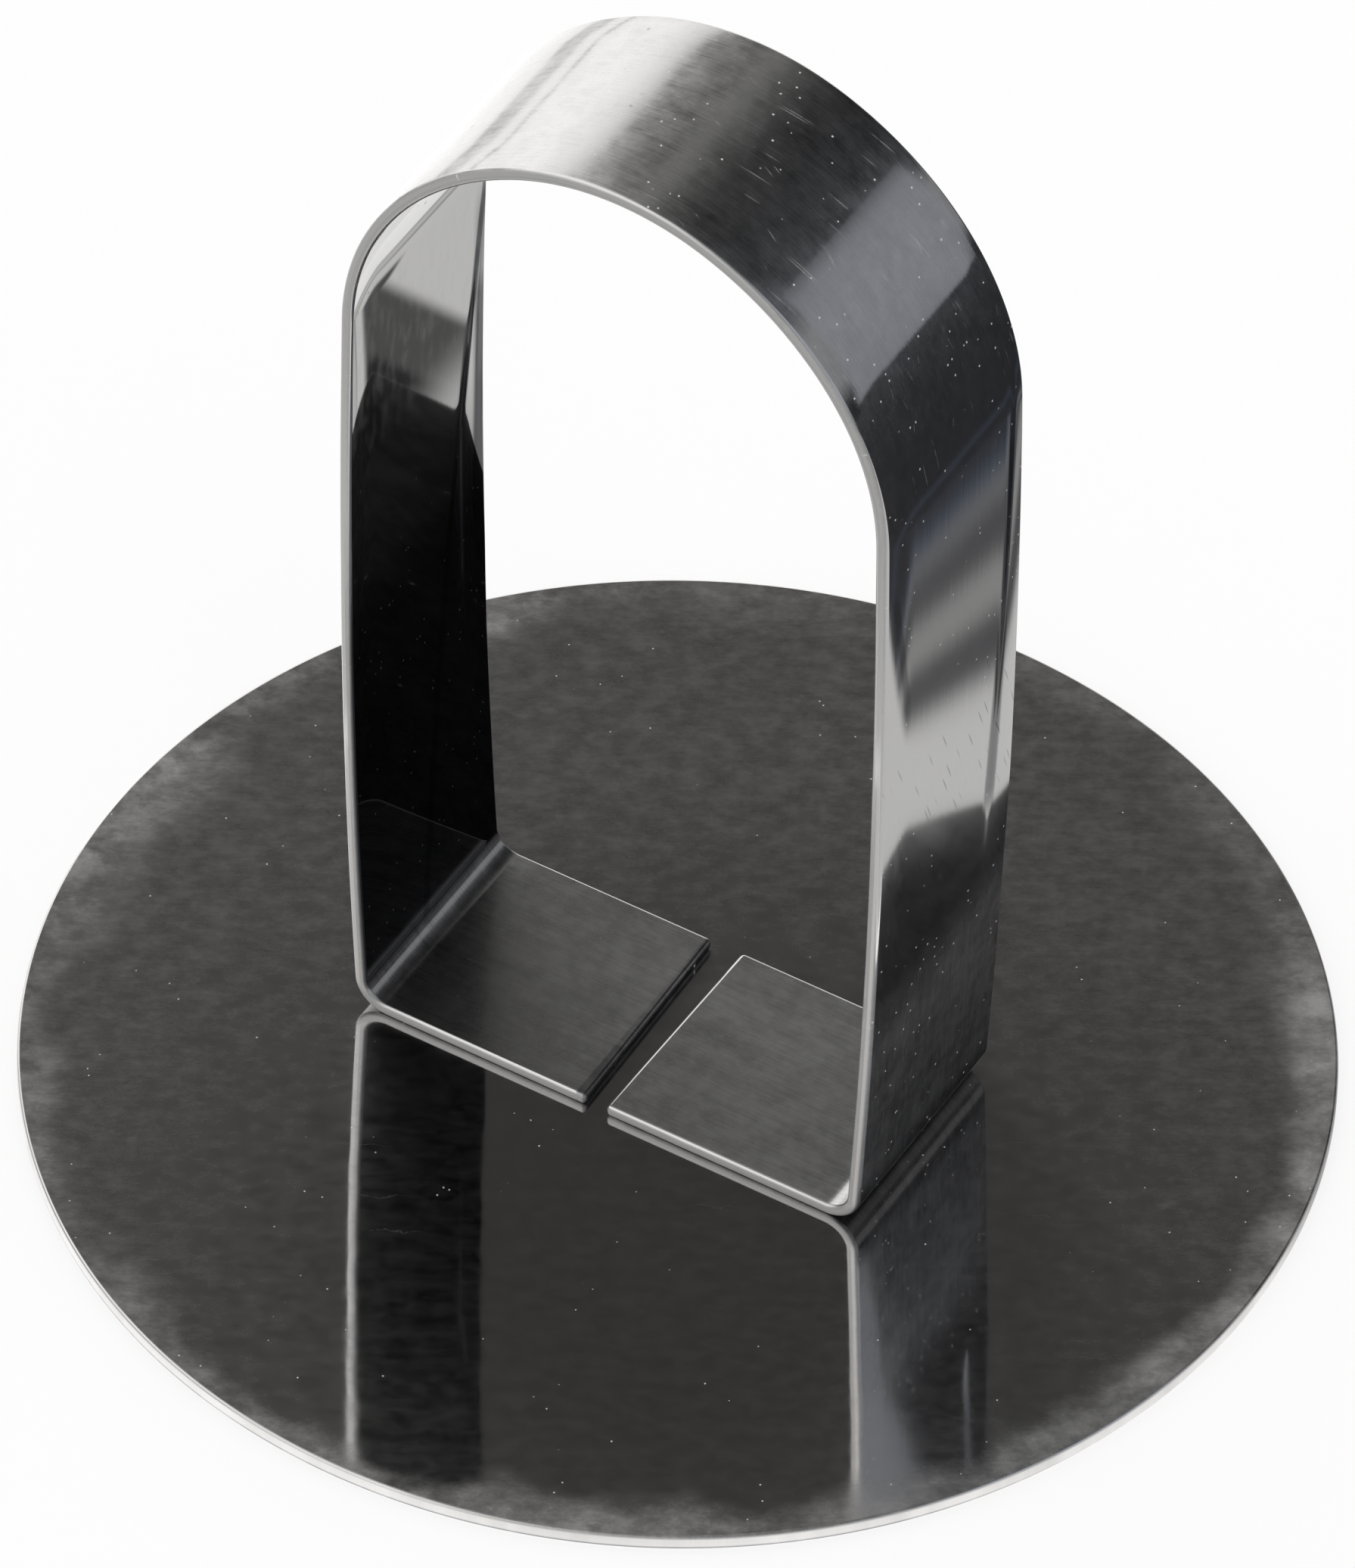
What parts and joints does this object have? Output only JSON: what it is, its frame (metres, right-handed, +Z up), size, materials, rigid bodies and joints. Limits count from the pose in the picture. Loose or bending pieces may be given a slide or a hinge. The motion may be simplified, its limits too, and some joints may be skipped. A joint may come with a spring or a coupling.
{
  "type": "round pastry cutter pusher plate",
  "caption": "Round polished steel plate with an arched strap handle spot-welded to its middle, for pushing dough or filling out of a cutting ring.",
  "frame": {"origin": "middle of the plate's underside", "axes": "+Z up out of the plate through the handle, X along the handle's span, Y along the strap's width"},
  "size_m": [0.078, 0.078, 0.0753],
  "materials": {
    "polished_steel": "mirror-polished stainless steel with fine wipe marks and a dull haze near the rim",
    "strap_steel": "bright stainless strap, polished faces with faint lengthwise grain and satin rounded edges",
    "weld_metal": "dull fused steel"
  },
  "bodies": {
    "root": {"press_plate": "polished_steel", "handle_strap": "strap_steel", "spot_weld_1": "weld_metal", "spot_weld_2": "weld_metal", "spot_weld_3": "weld_metal", "spot_weld_4": "weld_metal"}
  },
  "joints": []
}
